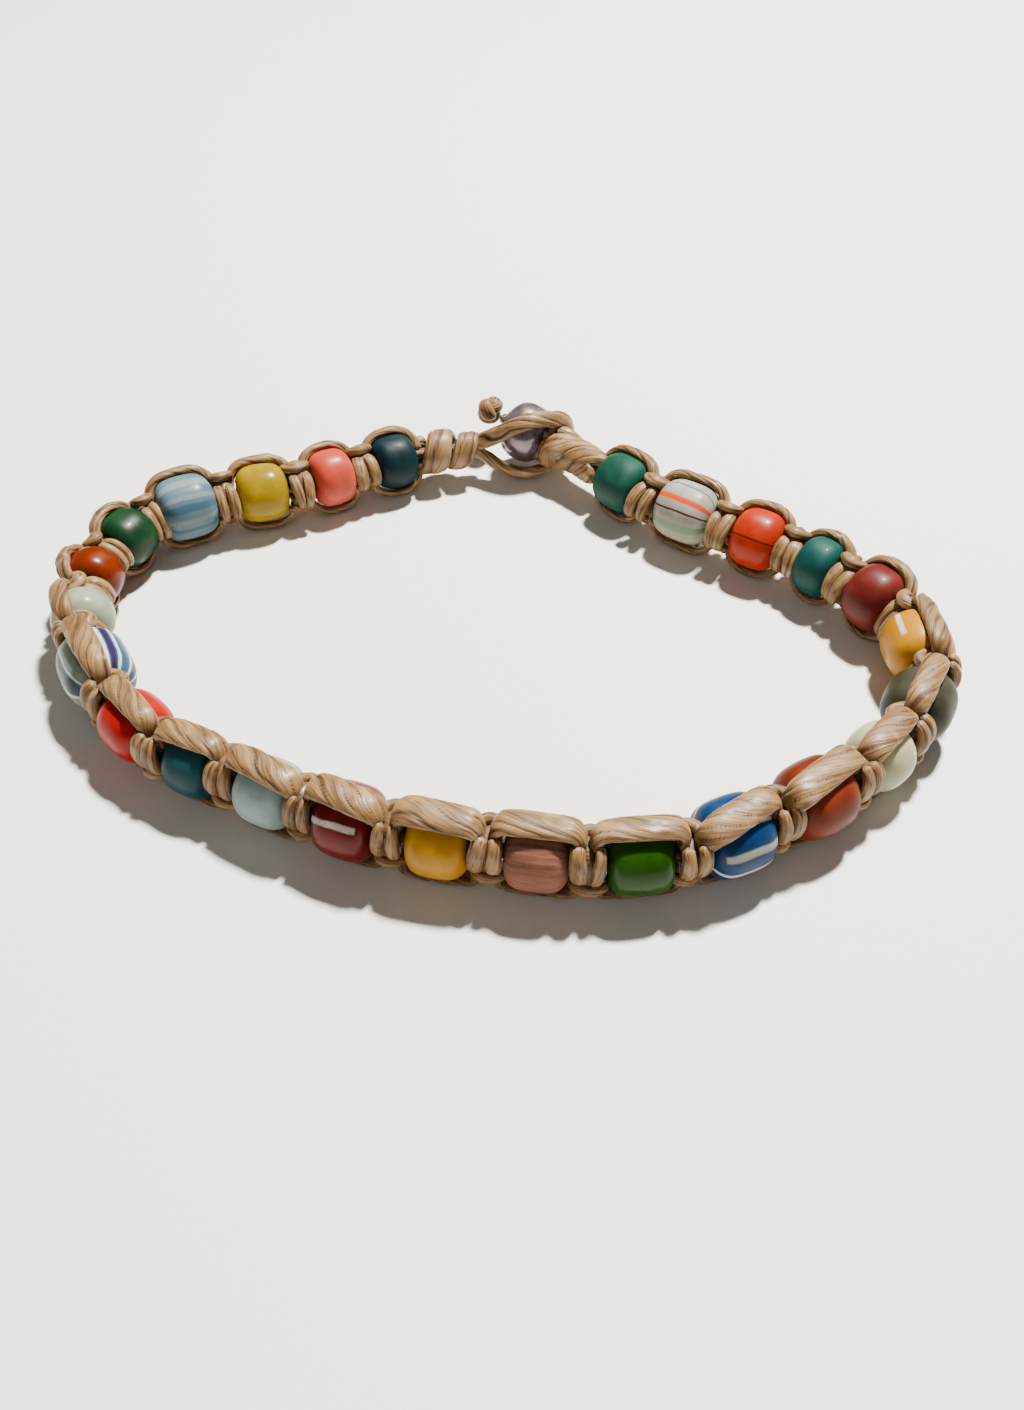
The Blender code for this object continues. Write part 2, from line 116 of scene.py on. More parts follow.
# A stripe runs along a bead: its angle from the outer side towards the top and its width in degrees, its
# colour, and where it starts and stops in shares of the bead's half length. By default it runs past both
# ends, over FULL_STRIPE.
Stripe = namedtuple("Stripe", "angle width tint start stop", defaults=(-1.2, 1.2))
FULL_STRIPE = 2.4
BEADS = [
    Bead(0.98, 0.93, 4.6, (0.0007, 0.009, 0.013), (0.001, 0.016, 0.022), 0.38, 0.00, [], 0),
    Bead(0.94, 0.98, 4.2, (0.335, 0.040, 0.022), (0.410, 0.062, 0.037), 0.28, 0.05, [], 0),
    Bead(1.10, 1.00, 4.2, (0.205, 0.132, 0.001), (0.275, 0.178, 0.001), 0.18, 0.06, [], 0),
    Bead(1.14, 1.08, 4.6, (0.054, 0.108, 0.142), (0.078, 0.136, 0.166), 0.26, 0.02, [
        Stripe(219, 14, (0.120, 0.148, 0.145)), Stripe(194, 10, (0.030, 0.066, 0.092)),
        Stripe(175, 9, (0.125, 0.152, 0.150)), Stripe(150, 15, (0.033, 0.076, 0.108)),
        Stripe(130, 9, (0.125, 0.165, 0.178)), Stripe(98, 17, (0.150, 0.200, 0.212)),
        Stripe(50, 14, (0.033, 0.076, 0.108)), Stripe(10, 16, (0.125, 0.160, 0.165)),
        Stripe(-40, 14, (0.033, 0.076, 0.108)), Stripe(-90, 16, (0.125, 0.160, 0.165)),
    ], 0),
    Bead(0.88, 0.96, 4.2, (0.0022, 0.019, 0.006), (0.0045, 0.030, 0.010), 0.26, 0.00, [], 0),
    Bead(0.78, 0.95, 3.4, (0.092, 0.010, 0.001), (0.135, 0.018, 0.002), 0.18, 0.03, [], 0),
    Bead(0.88, 0.98, 3.0, (0.180, 0.225, 0.150), (0.245, 0.285, 0.200), 0.18, 0.08, [], 0),
    Bead(1.36, 1.06, 4.6, (0.018, 0.058, 0.120), (0.040, 0.095, 0.160), 0.20, 0.03, [
        Stripe(80, 14, (0.060, 0.004, 0.006)), Stripe(65, 5, (0.38, 0.38, 0.32)),
        Stripe(50, 20, (0.17, 0.20, 0.16)), Stripe(36, 5, (0.40, 0.40, 0.34)),
        Stripe(18, 24, (0.012, 0.024, 0.040)), Stripe(0, 7, (0.42, 0.42, 0.36)),
        Stripe(-18, 20, (0.17, 0.20, 0.17)), Stripe(-33, 5, (0.38, 0.38, 0.34)),
        Stripe(-50, 22, (0.012, 0.024, 0.040)),
        Stripe(110, 6, (0.50, 0.50, 0.48)),
        Stripe(121, 11, (0.020, 0.012, 0.045)), Stripe(133, 6, (0.50, 0.50, 0.48)),
        Stripe(158, 6, (0.48, 0.48, 0.46)), Stripe(170, 9, (0.045, 0.018, 0.060)),
        Stripe(182, 6, (0.48, 0.48, 0.46)), Stripe(215, 14, (0.075, 0.008, 0.012)),
        Stripe(255, 18, (0.32, 0.35, 0.31)),
    ], 0),
    Bead(1.08, 0.97, 4.0, (0.250, 0.002, 0.001), (0.320, 0.004, 0.001), 0.24, 0.03, [], 0),
    Bead(0.92, 0.95, 4.6, (0.002, 0.026, 0.036), (0.004, 0.042, 0.052), 0.34, 0.00, [], 0),
    Bead(1.02, 0.97, 4.4, (0.165, 0.235, 0.235), (0.220, 0.290, 0.285), 0.36, 0.10, [], 0),
    Bead(0.97, 1.00, 4.6, (0.066, 0.002, 0.002), (0.100, 0.004, 0.003), 0.20, 0.01, [
        Stripe(37, 10, (0.36, 0.34, 0.29), -0.92, 0.62), Stripe(-48, 4, (0.20, 0.14, 0.13)),
        Stripe(160, 9, (0.40, 0.40, 0.36), -0.5, 0.8), Stripe(250, 9, (0.40, 0.40, 0.36), -0.8, 0.5),
    ], 0),
    Bead(1.04, 1.00, 4.6, (0.330, 0.155, 0.002), (0.430, 0.210, 0.004), 0.22, 0.08, [], 0),
    Bead(1.04, 1.00, 5.4, (0.160, 0.064, 0.040), (0.208, 0.086, 0.057), 0.50, 0.02, [], 34),
    Bead(1.08, 1.00, 6.5, (0.007, 0.036, 0.0005), (0.012, 0.052, 0.001), 0.20, 0.01, [], 0),
    Bead(1.08, 1.00, 5.2, (0.0008, 0.017, 0.064), (0.0015, 0.027, 0.092), 0.30, 0.01, [
        Stripe(92, 9, (0.42, 0.44, 0.41)), Stripe(64, 9, (0.40, 0.42, 0.39), -0.2, 1.2),
        Stripe(19, 12, (0.25, 0.26, 0.23), -0.74, 1.2), Stripe(-18, 8, (0.42, 0.44, 0.41)),
        Stripe(140, 8, (0.30, 0.34, 0.34)), Stripe(-75, 12, (0.40, 0.42, 0.39)),
        Stripe(200, 12, (0.40, 0.42, 0.39)),
    ], 0),
    Bead(1.18, 1.02, 4.2, (0.084, 0.010, 0.0015), (0.120, 0.016, 0.003), 0.34, 0.01, [], 0),
    Bead(1.00, 0.96, 3.2, (0.300, 0.300, 0.170), (0.380, 0.375, 0.230), 0.16, 0.20, [], 0),
    Bead(1.12, 0.98, 4.4, (0.020, 0.020, 0.011), (0.033, 0.033, 0.019), 0.32, 0.00, [], 0),
    Bead(1.18, 1.00, 4.2, (0.300, 0.125, 0.001), (0.390, 0.170, 0.002), 0.20, 0.06, [
        Stripe(128, 9, (0.52, 0.48, 0.36), -0.25, 0.75), Stripe(-60, 9, (0.52, 0.48, 0.36), -0.6, 0.5),
    ], 0),
    Bead(0.92, 1.06, 4.0, (0.078, 0.008, 0.006), (0.110, 0.013, 0.010), 0.32, 0.02, [], 0),
    Bead(0.84, 0.96, 4.4, (0.002, 0.036, 0.032), (0.004, 0.055, 0.048), 0.34, 0.00, [], 0),
    Bead(0.98, 1.00, 4.0, (0.262, 0.013, 0.001), (0.330, 0.021, 0.001), 0.26, 0.03, [
        Stripe(148, 4, (0.10, 0.006, 0.003)), Stripe(-10, 4, (0.10, 0.006, 0.003)),
    ], 0),
    Bead(1.26, 1.04, 4.6, (0.215, 0.225, 0.175), (0.300, 0.305, 0.250), 0.20, 0.06, [
        Stripe(125, 12, (0.520, 0.042, 0.008)), Stripe(149, 4, (0.070, 0.010, 0.014)),
        Stripe(90, 4, (0.070, 0.110, 0.150)), Stripe(181, 17, (0.130, 0.190, 0.110)),
        Stripe(207, 6, (0.36, 0.34, 0.14)), Stripe(28, 12, (0.520, 0.042, 0.008)),
        Stripe(0, 4, (0.070, 0.010, 0.014)), Stripe(-45, 16, (0.130, 0.190, 0.110)),
        Stripe(58, 5, (0.070, 0.110, 0.150)), Stripe(245, 12, (0.520, 0.042, 0.008)),
    ], 0),
    Bead(1.10, 0.98, 4.6, (0.003, 0.038, 0.025), (0.006, 0.058, 0.038), 0.40, 0.01, [], 0),
]

# How far the upper cord leans from the top towards the outer side, in degrees, at each bead's start and end
LEANS = [
    (45, 48), (48, 46), (46, 48), (46, 46), (44, 46), (54, 48), (36, 20), (10, 4), (0, 8), (2, 0),
    (0, 12), (0, 14), (2, 10), (0, 0), (0, 4), (26, -4), (20, -2), (12, 0), (4, 4), (8, 16),
    (38, 42), (44, 44), (46, 46), (46, 46), (44, 42),
]
# The lower cord's share of that lean
LOWER_LEAN = 0.22
# The cords' width over each bead
WIDTHS = [
    2.0, 2.0, 2.0, 2.1, 1.9, 1.8, 2.0, 2.2, 2.3, 2.45, 2.55, 2.6, 2.65, 2.4, 2.35, 2.55, 2.45, 2.4, 2.15,
    1.85, 1.9, 1.9, 1.9, 2.0, 1.9,
]
# How much longer and thicker some beads are than the solids that they stand for, numbered from 0
SWOLLEN = {
    3: (1.07, 1.0), 4: (1.18, 1.0), 5: (1.16, 1.0), 7: (1.04, 1.0), 8: (1.06, 1.02), 11: (1.10, 1.04),
    15: (1.10, 1.06), 16: (1.06, 1.04), 18: (1.05, 1.04), 19: (1.05, 1.05), 20: (1.10, 1.0), 22: (1.06, 1.0),
}
# How a cord bends down at a bead's ends, from 0, square, to 1, round
ROUND_ENDS = [
    1, 1, 1, 1, 1, 1, 0.6, 0.5, 0.35, 0.3, 0.3, 0.3, 0.25, 0.25, 0.25, 0.25, 0.3, 0.3, 0.4, 0.5, 1, 1, 1,
    1, 1,
]

# A cord's end over a bead, from inside the knot to the bead's shoulder: distance from the knot's middle,
# drop from the cord's top, share of its width, and the way it faces (on past the end, and up)
SQUARE_END = [
    (0.62, 2.30, 0.60, 1.0, 0.15), (0.50, 1.45, 0.80, 1.0, 0.05), (0.52, 0.66, 0.92, 0.95, 0.35),
    (0.80, 0.16, 0.97, 0.5, 0.85), (1.70, 0.02, 1.0, 0.05, 1.0),
]
ROUND_END = [
    (0.72, 2.75, 0.50, 1.0, 0.10), (0.78, 1.90, 0.62, 1.0, 0.30), (1.10, 1.10, 0.75, 0.85, 0.60),
    (1.65, 0.48, 0.88, 0.55, 0.85), (2.50, 0.10, 0.97, 0.20, 1.0),
]

# A place on a strand of a knot, from the knot's middle, with the way the strand faces there and its section
Strand = namedtuple("Strand", "along out up face_along face_out face_up width thickness")
# A bar of a knot, from under the cord's end down the outer side
BAR = [
    Strand(0.60, 0.60, 2.35, 0.0, 0.40, 0.95, 0.95, 0.80),
    Strand(0.70, 1.30, 1.98, 0.0, 0.85, 0.55, 1.02, 0.90),
    Strand(0.70, 1.66, 1.22, 0.1, 1.00, 0.15, 1.20, 1.02),
    Strand(0.70, 1.72, 0.45, 0.1, 1.00, -0.05, 1.24, 1.08),
    Strand(0.65, 1.52, -0.40, 0.1, 0.90, -0.40, 1.20, 1.08),
    Strand(0.55, 1.02, -1.05, 0.0, 0.60, -0.80, 1.05, 0.95),
    Strand(0.45, 0.35, -1.30, 0.0, 0.20, -0.95, 0.85, 0.80),
    Strand(0.36, -0.40, -1.30, 0.0, -0.20, -0.95, 0.80, 0.70),
]
# The other cord's bight below the bars
BIGHT = [
    Strand(-1.15, 0.35, -2.05, 0.0, 0.45, -0.90, 0.95, 0.80),
    Strand(-0.85, 1.15, -1.80, 0.0, 0.80, -0.60, 1.05, 0.88),
    Strand(0.0, 1.60, -1.70, 0.0, 0.90, -0.45, 1.15, 0.95),
    Strand(0.85, 1.15, -1.80, 0.0, 0.80, -0.60, 1.05, 0.88),
    Strand(1.15, 0.35, -2.05, 0.0, 0.45, -0.90, 0.95, 0.80),
]
# The bars' and the heart's lowest places lie above this, and the bights' below
BIGHT_TOP = -1.4
# What fills the knot round the core, behind the bars, drawn in the darker cord as painted shade
KNOT_HEART = [
    Strand(-0.95, 0.0, 0.0, 0.0, 1.0, 0.0, 2.4, 2.6), Strand(-0.5, 0.0, 0.0, 0.0, 1.0, 0.0, 3.8, 3.3),
    Strand(0.5, 0.0, 0.0, 0.0, 1.0, 0.0, 3.8, 3.3), Strand(0.95, 0.0, 0.0, 0.0, 1.0, 0.0, 2.4, 2.6),
]


def catmull(rows, spacing):
    """Rows of a centripetal Catmull-Rom curve through the given rows; the first three columns are places."""
    rows = np.asarray(rows, float)
    padded = np.vstack([2 * rows[0] - rows[1], rows, 2 * rows[-1] - rows[-2]])
    out = []
    for a, b, c, d in zip(padded, padded[1:], padded[2:], padded[3:]):
        gaps = [max(math.sqrt(np.linalg.norm(q[:3] - p[:3])), 1e-4) for p, q in ((a, b), (b, c), (c, d))]
        tb = gaps[0]
        tc = tb + gaps[1]
        td = tc + gaps[2]
        steps = max(1, int(round(gaps[1] ** 2 / spacing)))
        t = (tb + (tc - tb) * np.arange(steps) / steps)[:, None]
        ab = a + (b - a) * t / tb
        bc = b + (c - b) * (t - tb) / (tc - tb)
        cd = c + (d - c) * (t - tc) / (td - tc)
        abc = ab + (bc - ab) * t / tc
        bcd = bc + (cd - bc) * (t - tb) / (td - tb)
        out.append(abc + (bcd - abc) * (t - tb) / (tc - tb))
    out.append(rows[-1][None])
    return np.vstack(out)


def run_lengths(points):
    """The distance along a run of points, at each point."""
    return np.r_[0, np.cumsum(np.linalg.norm(np.diff(points, axis=0), axis=1))]


def at_distance(points, distances, wanted):
    """The point at a distance along a run of points, straight on past its ends."""
    held = np.clip(wanted, 0, distances[-1])
    here = np.array([np.interp(held, distances, points[:, k]) for k in range(points.shape[1])])
    ahead = points[-1] - points[-2] if wanted > held else points[1] - points[0]
    return here + unit(ahead) * (wanted - held)


def string_line(needed):
    """The string's middle line, as the part draws it."""
    drawn = np.array([(x, y, 0.0) for x, y in ROUTE])
    clasp = (drawn[0] + drawn[-1]) / 2
    grow = 1.0
    for _ in range(FITTING_ROUNDS):
        inner = clasp + (drawn[1:-1] - clasp) * grow
        line = catmull(np.vstack([drawn[:1], inner, drawn[-1:]]), LINE_SPACING)
        grow *= needed / run_lengths(line)[-1]
    return line


def box_centre(node):
    """The middle of a CAD node's box, in mm."""
    low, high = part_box(node)
    return (np.array(low) + np.array(high)) / 2 / MM


def unit(vector):
    """A vector of length one."""
    return vector / np.linalg.norm(vector)


def layout():
    """The knots' middles, the string's line, the knots' distances along it, and the move to the CAD."""
    lengths = [bead.length * BEAD_LENGTH for bead in BEADS]
    line = string_line(LEFT_WRAP_LENGTH + RIGHT_WRAP_LENGTH + sum(lengths) + KNOT_GAP * (len(BEADS) + 1))
    distances = run_lengths(line)
    stop = LEFT_WRAP_LENGTH + KNOT_GAP / 2
    stops = [stop]
    for length in lengths:
        stop += length + KNOT_GAP
        stops.append(stop)
    radii = [BEAD_DIAMETER * bead.diameter / 2 for bead in BEADS]
    heights = [CORD_REACH + (a + b) / 2 for a, b in zip([radii[0], *radii], [*radii, radii[-1]])]
    knots = np.array([at_distance(line, distances, s) for s in stops])
    knots[:, 2] = heights
    first = (knots[0] + knots[1]) / 2
    shift = box_centre("bead_01") - first
    shift[2] = 0
    return knots + shift, line + shift, stops, shift


# The knots' middles, the string's line, the knots' distances along it, and how far all of it was moved
KNOTS, LINE, STOPS, SHIFT = layout()


def level_frame(centre, along):
    """A place on the string with its level directions: along it, outwards from the loop, and up."""
    t = unit(np.array([along[0], along[1], 0.0]))
    return centre, t, np.array([t[1], -t[0], 0.0]), np.array([0.0, 0.0, 1.0])


def bead_place(number):
    """A bead's radius and length, its middle and its level directions."""
    bead = BEADS[number]
    a, b = KNOTS[number], KNOTS[number + 1]
    radius = BEAD_DIAMETER * bead.diameter / 2
    centre = (a + b) / 2
    centre[2] = radius + CORD_REACH
    return radius, bead.length * BEAD_LENGTH, level_frame(centre, b - a)


def knot_frame(number):
    """The middle of the knot between two beads, and its level directions."""
    return level_frame(KNOTS[number], KNOTS[number + 1] - KNOTS[number - 1])


def ring_faces(count, around, along, turn, first, cap=True):
    """Faces through rings of points, with UVs: once round across, and the distance along."""
    i, j = np.meshgrid(np.arange(count - 1), np.arange(around), indexing="ij")
    k = (j + 1) % around
    quads = np.stack([i * around + j, i * around + k, (i + 1) * around + k, (i + 1) * around + j], -1)
    faces = (quads.reshape(-1, 4) + first).tolist()
    u0, u1 = j / around, (j + 1) / around
    t0, t1 = turn[i], turn[i + 1]
    v0, v1 = along[i], along[i + 1]
    uv = np.stack([u0 + t0, v0, u1 + t0, v0, u1 + t1, v1, u0 + t1, v1], -1).reshape(-1, 2)
    if cap:
        last = (count - 1) * around
        faces += [[first + n for n in range(around)][::-1], [first + last + n for n in range(around)]]
        ends = [np.full((around, 2), (0.0, along[0])), np.full((around, 2), (0.0, along[-1]))]
        uv = np.vstack([uv, *ends])
    return faces, uv


def mesh_piece(name, verts, faces, uv, groove, finish):
    """A smooth piece of the bracelet from its points in mm, its faces, its UVs and its grooves' depth."""
    mesh = bpy.data.meshes.new(name)
    mesh.from_pydata((verts * MM).tolist(), [], faces)
    layer = mesh.uv_layers.new(name="UVMap")
    layer.data.foreach_set("uv", uv.ravel())
    depth = mesh.attributes.new("groove", "FLOAT", "POINT")
    depth.data.foreach_set("value", np.asarray(groove, np.float32).ravel())
    mesh.shade_smooth()
    mesh.materials.append(finish)
    obj = bpy.data.objects.new(name, mesh)
    bpy.context.scene.collection.objects.link(obj)
    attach(obj, "root")
    return obj


def mend_ring(obj):
    """Join the first and last rings of a turned piece into one closed surface facing out."""
    bm = bmesh.new()
    bm.from_mesh(obj.data)
    bmesh.ops.remove_doubles(bm, verts=bm.verts, dist=SAME_POINT)
    bmesh.ops.recalc_face_normals(bm, faces=bm.faces)
    bm.to_mesh(obj.data)
    bm.free()


def turned_piece(name, rings, along, finish):
    """A closed turned piece from rings of points whose first and last are the same."""
    around = rings.shape[1]
    faces, uv = ring_faces(len(rings), around, along, np.zeros(len(rings)), 0, cap=False)
    obj = mesh_piece(name, rings.reshape(-1, 3), faces, uv, np.ones(rings.shape[:2]), finish)
    mend_ring(obj)
    return obj


def wander(distance, random, scale):
    """A smooth wandering value along a cord, between about minus one and one."""
    value = np.zeros_like(distance)
    for term in range(1, 6):
        value += np.sin(distance / scale * term * 1.3 + random.uniform(0, 2 * math.pi)) / term
    return value / 1.8


def cord_rings(rows, random, plies, twist, ridge, around, spacing):
    """Rings of points along a flat cord, with the depth between its plies and its UVs."""
    dense = catmull(rows, spacing)
    place, face, width, thick, curl = dense[:, :3], dense[:, 3:6], dense[:, 6], dense[:, 7], dense[:, 8]
    tangent = np.gradient(place, axis=0)
    tangent /= np.linalg.norm(tangent, axis=1)[:, None]
    side = np.cross(tangent, face)
    side /= np.linalg.norm(side, axis=1)[:, None]
    up = np.cross(side, tangent)
    distance = run_lengths(place)
    width = width * (1 + 0.05 * wander(distance, random, 3.1))
    thick = thick * (1 + 0.05 * wander(distance, random, 2.3))
    ends = np.minimum(distance, distance[-1] - distance)
    rounding = np.sqrt(1 - np.clip(1 - ends / CORD_END, 0, 1) ** 2) * 0.85 + 0.15
    # The section is a slightly squared oval
    angle = 2 * math.pi * np.arange(around) / around
    cos, sin = np.cos(angle), np.sin(angle)
    across = np.sign(cos) * np.abs(cos) ** 0.80
    out = np.sign(sin) * np.abs(sin) ** 0.85
    # The plies run along the cord, drift and twist round it, and carry fine ridges
    drift = 0.36 * wander(distance, random, 3.8)[:, None] + twist * distance[:, None]
    phase = plies * (angle / (2 * math.pi))[None] + drift
    phase = phase + 0.26 * np.sin((2 * angle)[None] + distance[:, None] * 0.7 + random.uniform(0, 6))
    crest = np.abs(np.sin(math.pi * phase)) ** 0.5
    fine = np.abs(np.sin(math.pi * (phase * 2 + 0.4 * wander(distance, random, 1.7)[:, None])))
    lift = ridge * (crest - 0.75) + ridge * 0.38 * (fine - 0.6)
    # Width and thickness from the middle line, with the edges bent down and nothing under the floor
    x = across[None] * width[:, None] / 2 + cos[None] * lift
    bow = curl[:, None] * (across[None] * width[:, None] / 2) ** 2 / 2
    y = out[None] * thick[:, None] / 2 + sin[None] * lift - bow
    x *= rounding[:, None]
    y *= rounding[:, None]
    points = place[:, None] + side[:, None] * x[..., None] + up[:, None] * y[..., None]
    points[..., 2] = np.maximum(points[..., 2], 0.0)
    groove = 0.86 * crest + 0.14 * fine
    turn = twist * distance / plies + random.uniform(0, 3)
    return points, distance + random.uniform(0, 40), turn, groove


def sweep_cords(name, cords, finish, seed, plies, twist, ridge, around=CORD_AROUND, spacing=CORD_SPACING):
    """Cords along their paths, in one piece. A path's rows come from row()."""
    random = np.random.RandomState(seed)
    verts, faces, uvs, grooves = [], [], [], []
    for rows in cords:
        lay = twist * random.uniform(0.6, 1.3)
        points, along, turn, groove = cord_rings(rows, random, plies, lay, ridge, around, spacing)
        new_faces, new_uvs = ring_faces(points.shape[0], around, along, turn, sum(len(v) for v in verts))
        verts.append(points.reshape(-1, 3))
        faces += new_faces
        uvs.append(new_uvs)
        grooves.append(groove.ravel())
    return mesh_piece(name, np.vstack(verts), faces, np.vstack(uvs), np.concatenate(grooves), finish)


def row(place, face, width, thick, curl=0.0):
    """One row of a cord's path: its place, the way it faces, and its section. Curl bends its edges down."""
    return [*place, *face, width, thick, curl]


def leaning(out, up, degrees):
    """Turn the outward and upward directions about the string."""
    angle = math.radians(degrees)
    return out * math.cos(angle) - up * math.sin(angle), up * math.cos(angle) + out * math.sin(angle)


def arc_rows(number, sign, random):
    """A knotting cord over one bead: up out of the knot, along the bead, and down into the next knot."""
    radius, length, (middle, t, out, up) = bead_place(number)
    start, end = (lean * (1 if sign > 0 else LOWER_LEAN) for lean in LEANS[number])
    wide = WIDTHS[number] * random.uniform(0.96, 1.05)
    drift = random.uniform(-1.0, 1.0)
    half = length / 2
    reach = half + KNOT_GAP / 2
    top = radius + (ARC_LIFT if sign > 0 else LOWER_LIFT)
    sag = random.uniform(0.0, 0.06)
    round_end = ROUND_ENDS[number]
    thick = ARC_THICKNESS + (UPPER_END_SWELL if sign > 0 else LOWER_END_SWELL) * round_end
    stations = []
    for square, bent in zip(SQUARE_END, ROUND_END):
        past, drop, width, ahead, rise = (a + (b - a) * round_end for a, b in zip(square, bent))
        stations.append((-reach + past, top - drop, width, -ahead, rise))
    back = [(-along, height, width, -ahead, rise)
            for along, height, width, ahead, rise in reversed(stations)]
    stations += [(-half * 0.30, top, 1.0, 0.0, 1.0), (half * 0.30, top - sag, 1.0, 0.0, 1.0), *back]
    rows = []
    for along, height, width, face_along, face_up in stations:
        share = (along / reach + 1) / 2
        lean = start + (end - start) * share + drift
        _, up_here = leaning(out, up, lean)
        place = middle + t * along + up_here * sign * height
        face = t * face_along + up_here * sign * face_up
        rows.append(row(place, unit(face), width * wide, thick, ARC_CURL / radius))
    return rows


def strand_rows(number, strands, sign, mirror, random):
    """A short strand of the knot between two beads; sign -1 is the lower cord's, on the inner side."""
    centre, t, out, up = knot_frame(number)
    before, after = LEANS[number - 1][1], LEANS[number][0]
    out, up = leaning(out, up, (before + after) / 2)
    radius = (BEADS[number - 1].diameter + BEADS[number].diameter) / 4 * BEAD_DIAMETER
    tall = radius / (BEAD_DIAMETER / 2)
    wide = random.uniform(0.82, 1.20)
    shift = random.uniform(-0.05, 0.05)
    swell = random.uniform(-0.12, 0.12)
    tilt = random.uniform(-0.13, 0.13)
    short = random.uniform(0.62, 1.0)
    room = [1 - (SWOLLEN.get(n, (1, 1))[0] - 1) * BEADS[n].length * BEAD_LENGTH / KNOT_GAP
            for n in (number - 1, number)]
    rows = []
    for s in strands:
        along = s.along * mirror + tilt * s.up
        share = room[0] if along < 0 else room[1]
        place = centre + t * (along * share + shift) + out * sign * (s.out + swell * 0.5)
        height = s.up * short if BIGHT_TOP < s.up < 0 else s.up
        place = place + up * sign * (height * tall + swell)
        face = t * s.face_along * mirror + out * sign * s.face_out + up * sign * s.face_up
        rows.append(row(place, unit(face), s.width * wide * min(1, share + 0.12), s.thickness))
    return rows


def bead_radius_at(share, radius, square):
    """A bead's radius at a share of its half length: a barrel with rounded shoulders."""
    belly = 1 - 0.09 * share ** 2
    shoulder = np.maximum(1 - np.abs(share) ** square, 0) ** 0.40
    return radius * belly * shoulder


def make_bead(number):
    """One glass bead: a rounded barrel, drilled, with the small unevenness of hand-made glass."""
    bead = BEADS[number]
    random = np.random.RandomState(700 + number)
    radius, length, (middle, _, out, _) = bead_place(number)
    longer, thicker = SWOLLEN.get(number, (1, 1))
    length *= longer
    radius *= thicker
    a, b = KNOTS[number], KNOTS[number + 1]
    axis = unit(b - a)
    rise = np.cross(out, axis)
    rise = rise if rise[2] > 0 else -rise
    shares = np.sin(np.linspace(-math.pi / 2, math.pi / 2, BEAD_RINGS))
    radii = bead_radius_at(shares, radius, bead.square)
    outline = [(s, r) for s, r in zip(shares, radii) if r > HOLE_RADIUS + OUTLINE_END]
    first, last = outline[0], outline[-1]
    rim = HOLE_RADIUS + RIM_WIDTH
    # The outline, then the rim just inside the ends, and the hole with bevelled edges back to the start
    profile = [(first[0] * 0.995, rim), *outline, (last[0] * 0.995, rim),
               (last[0] * 0.93, HOLE_RADIUS), (0.0, HOLE_RADIUS), (first[0] * 0.93, HOLE_RADIUS),
               (first[0] * 0.995, rim)]
    angle = 2 * math.pi * np.arange(BEAD_AROUND) / BEAD_AROUND
    uneven = 0.012 * np.sin(2 * angle + random.uniform(0, 6))
    uneven = uneven + 0.008 * np.sin(3 * angle + random.uniform(0, 6))
    rings = []
    for share, r in profile:
        ring = r * (1 + (uneven if r > rim else 0)) * np.ones_like(angle)
        if bead.ribs and r > rim + 0.4:
            rib = np.abs(np.sin(bead.ribs / 2 * angle + 0.5 * np.sin(3 * angle))) ** 0.7
            ring = ring - 0.075 * (1 - rib)
        along = share * length / 2
        points = (middle + axis * along)[None] + np.cos(angle)[:, None] * ring[:, None] * out[None]
        rings.append(points + np.sin(angle)[:, None] * ring[:, None] * rise[None])
    along = np.array([share for share, _ in profile])
    obj = turned_piece(f"glass_{number + 1:02d}", np.array(rings), along, bead_material(number))
    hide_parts(f"bead_{number + 1:02d}")


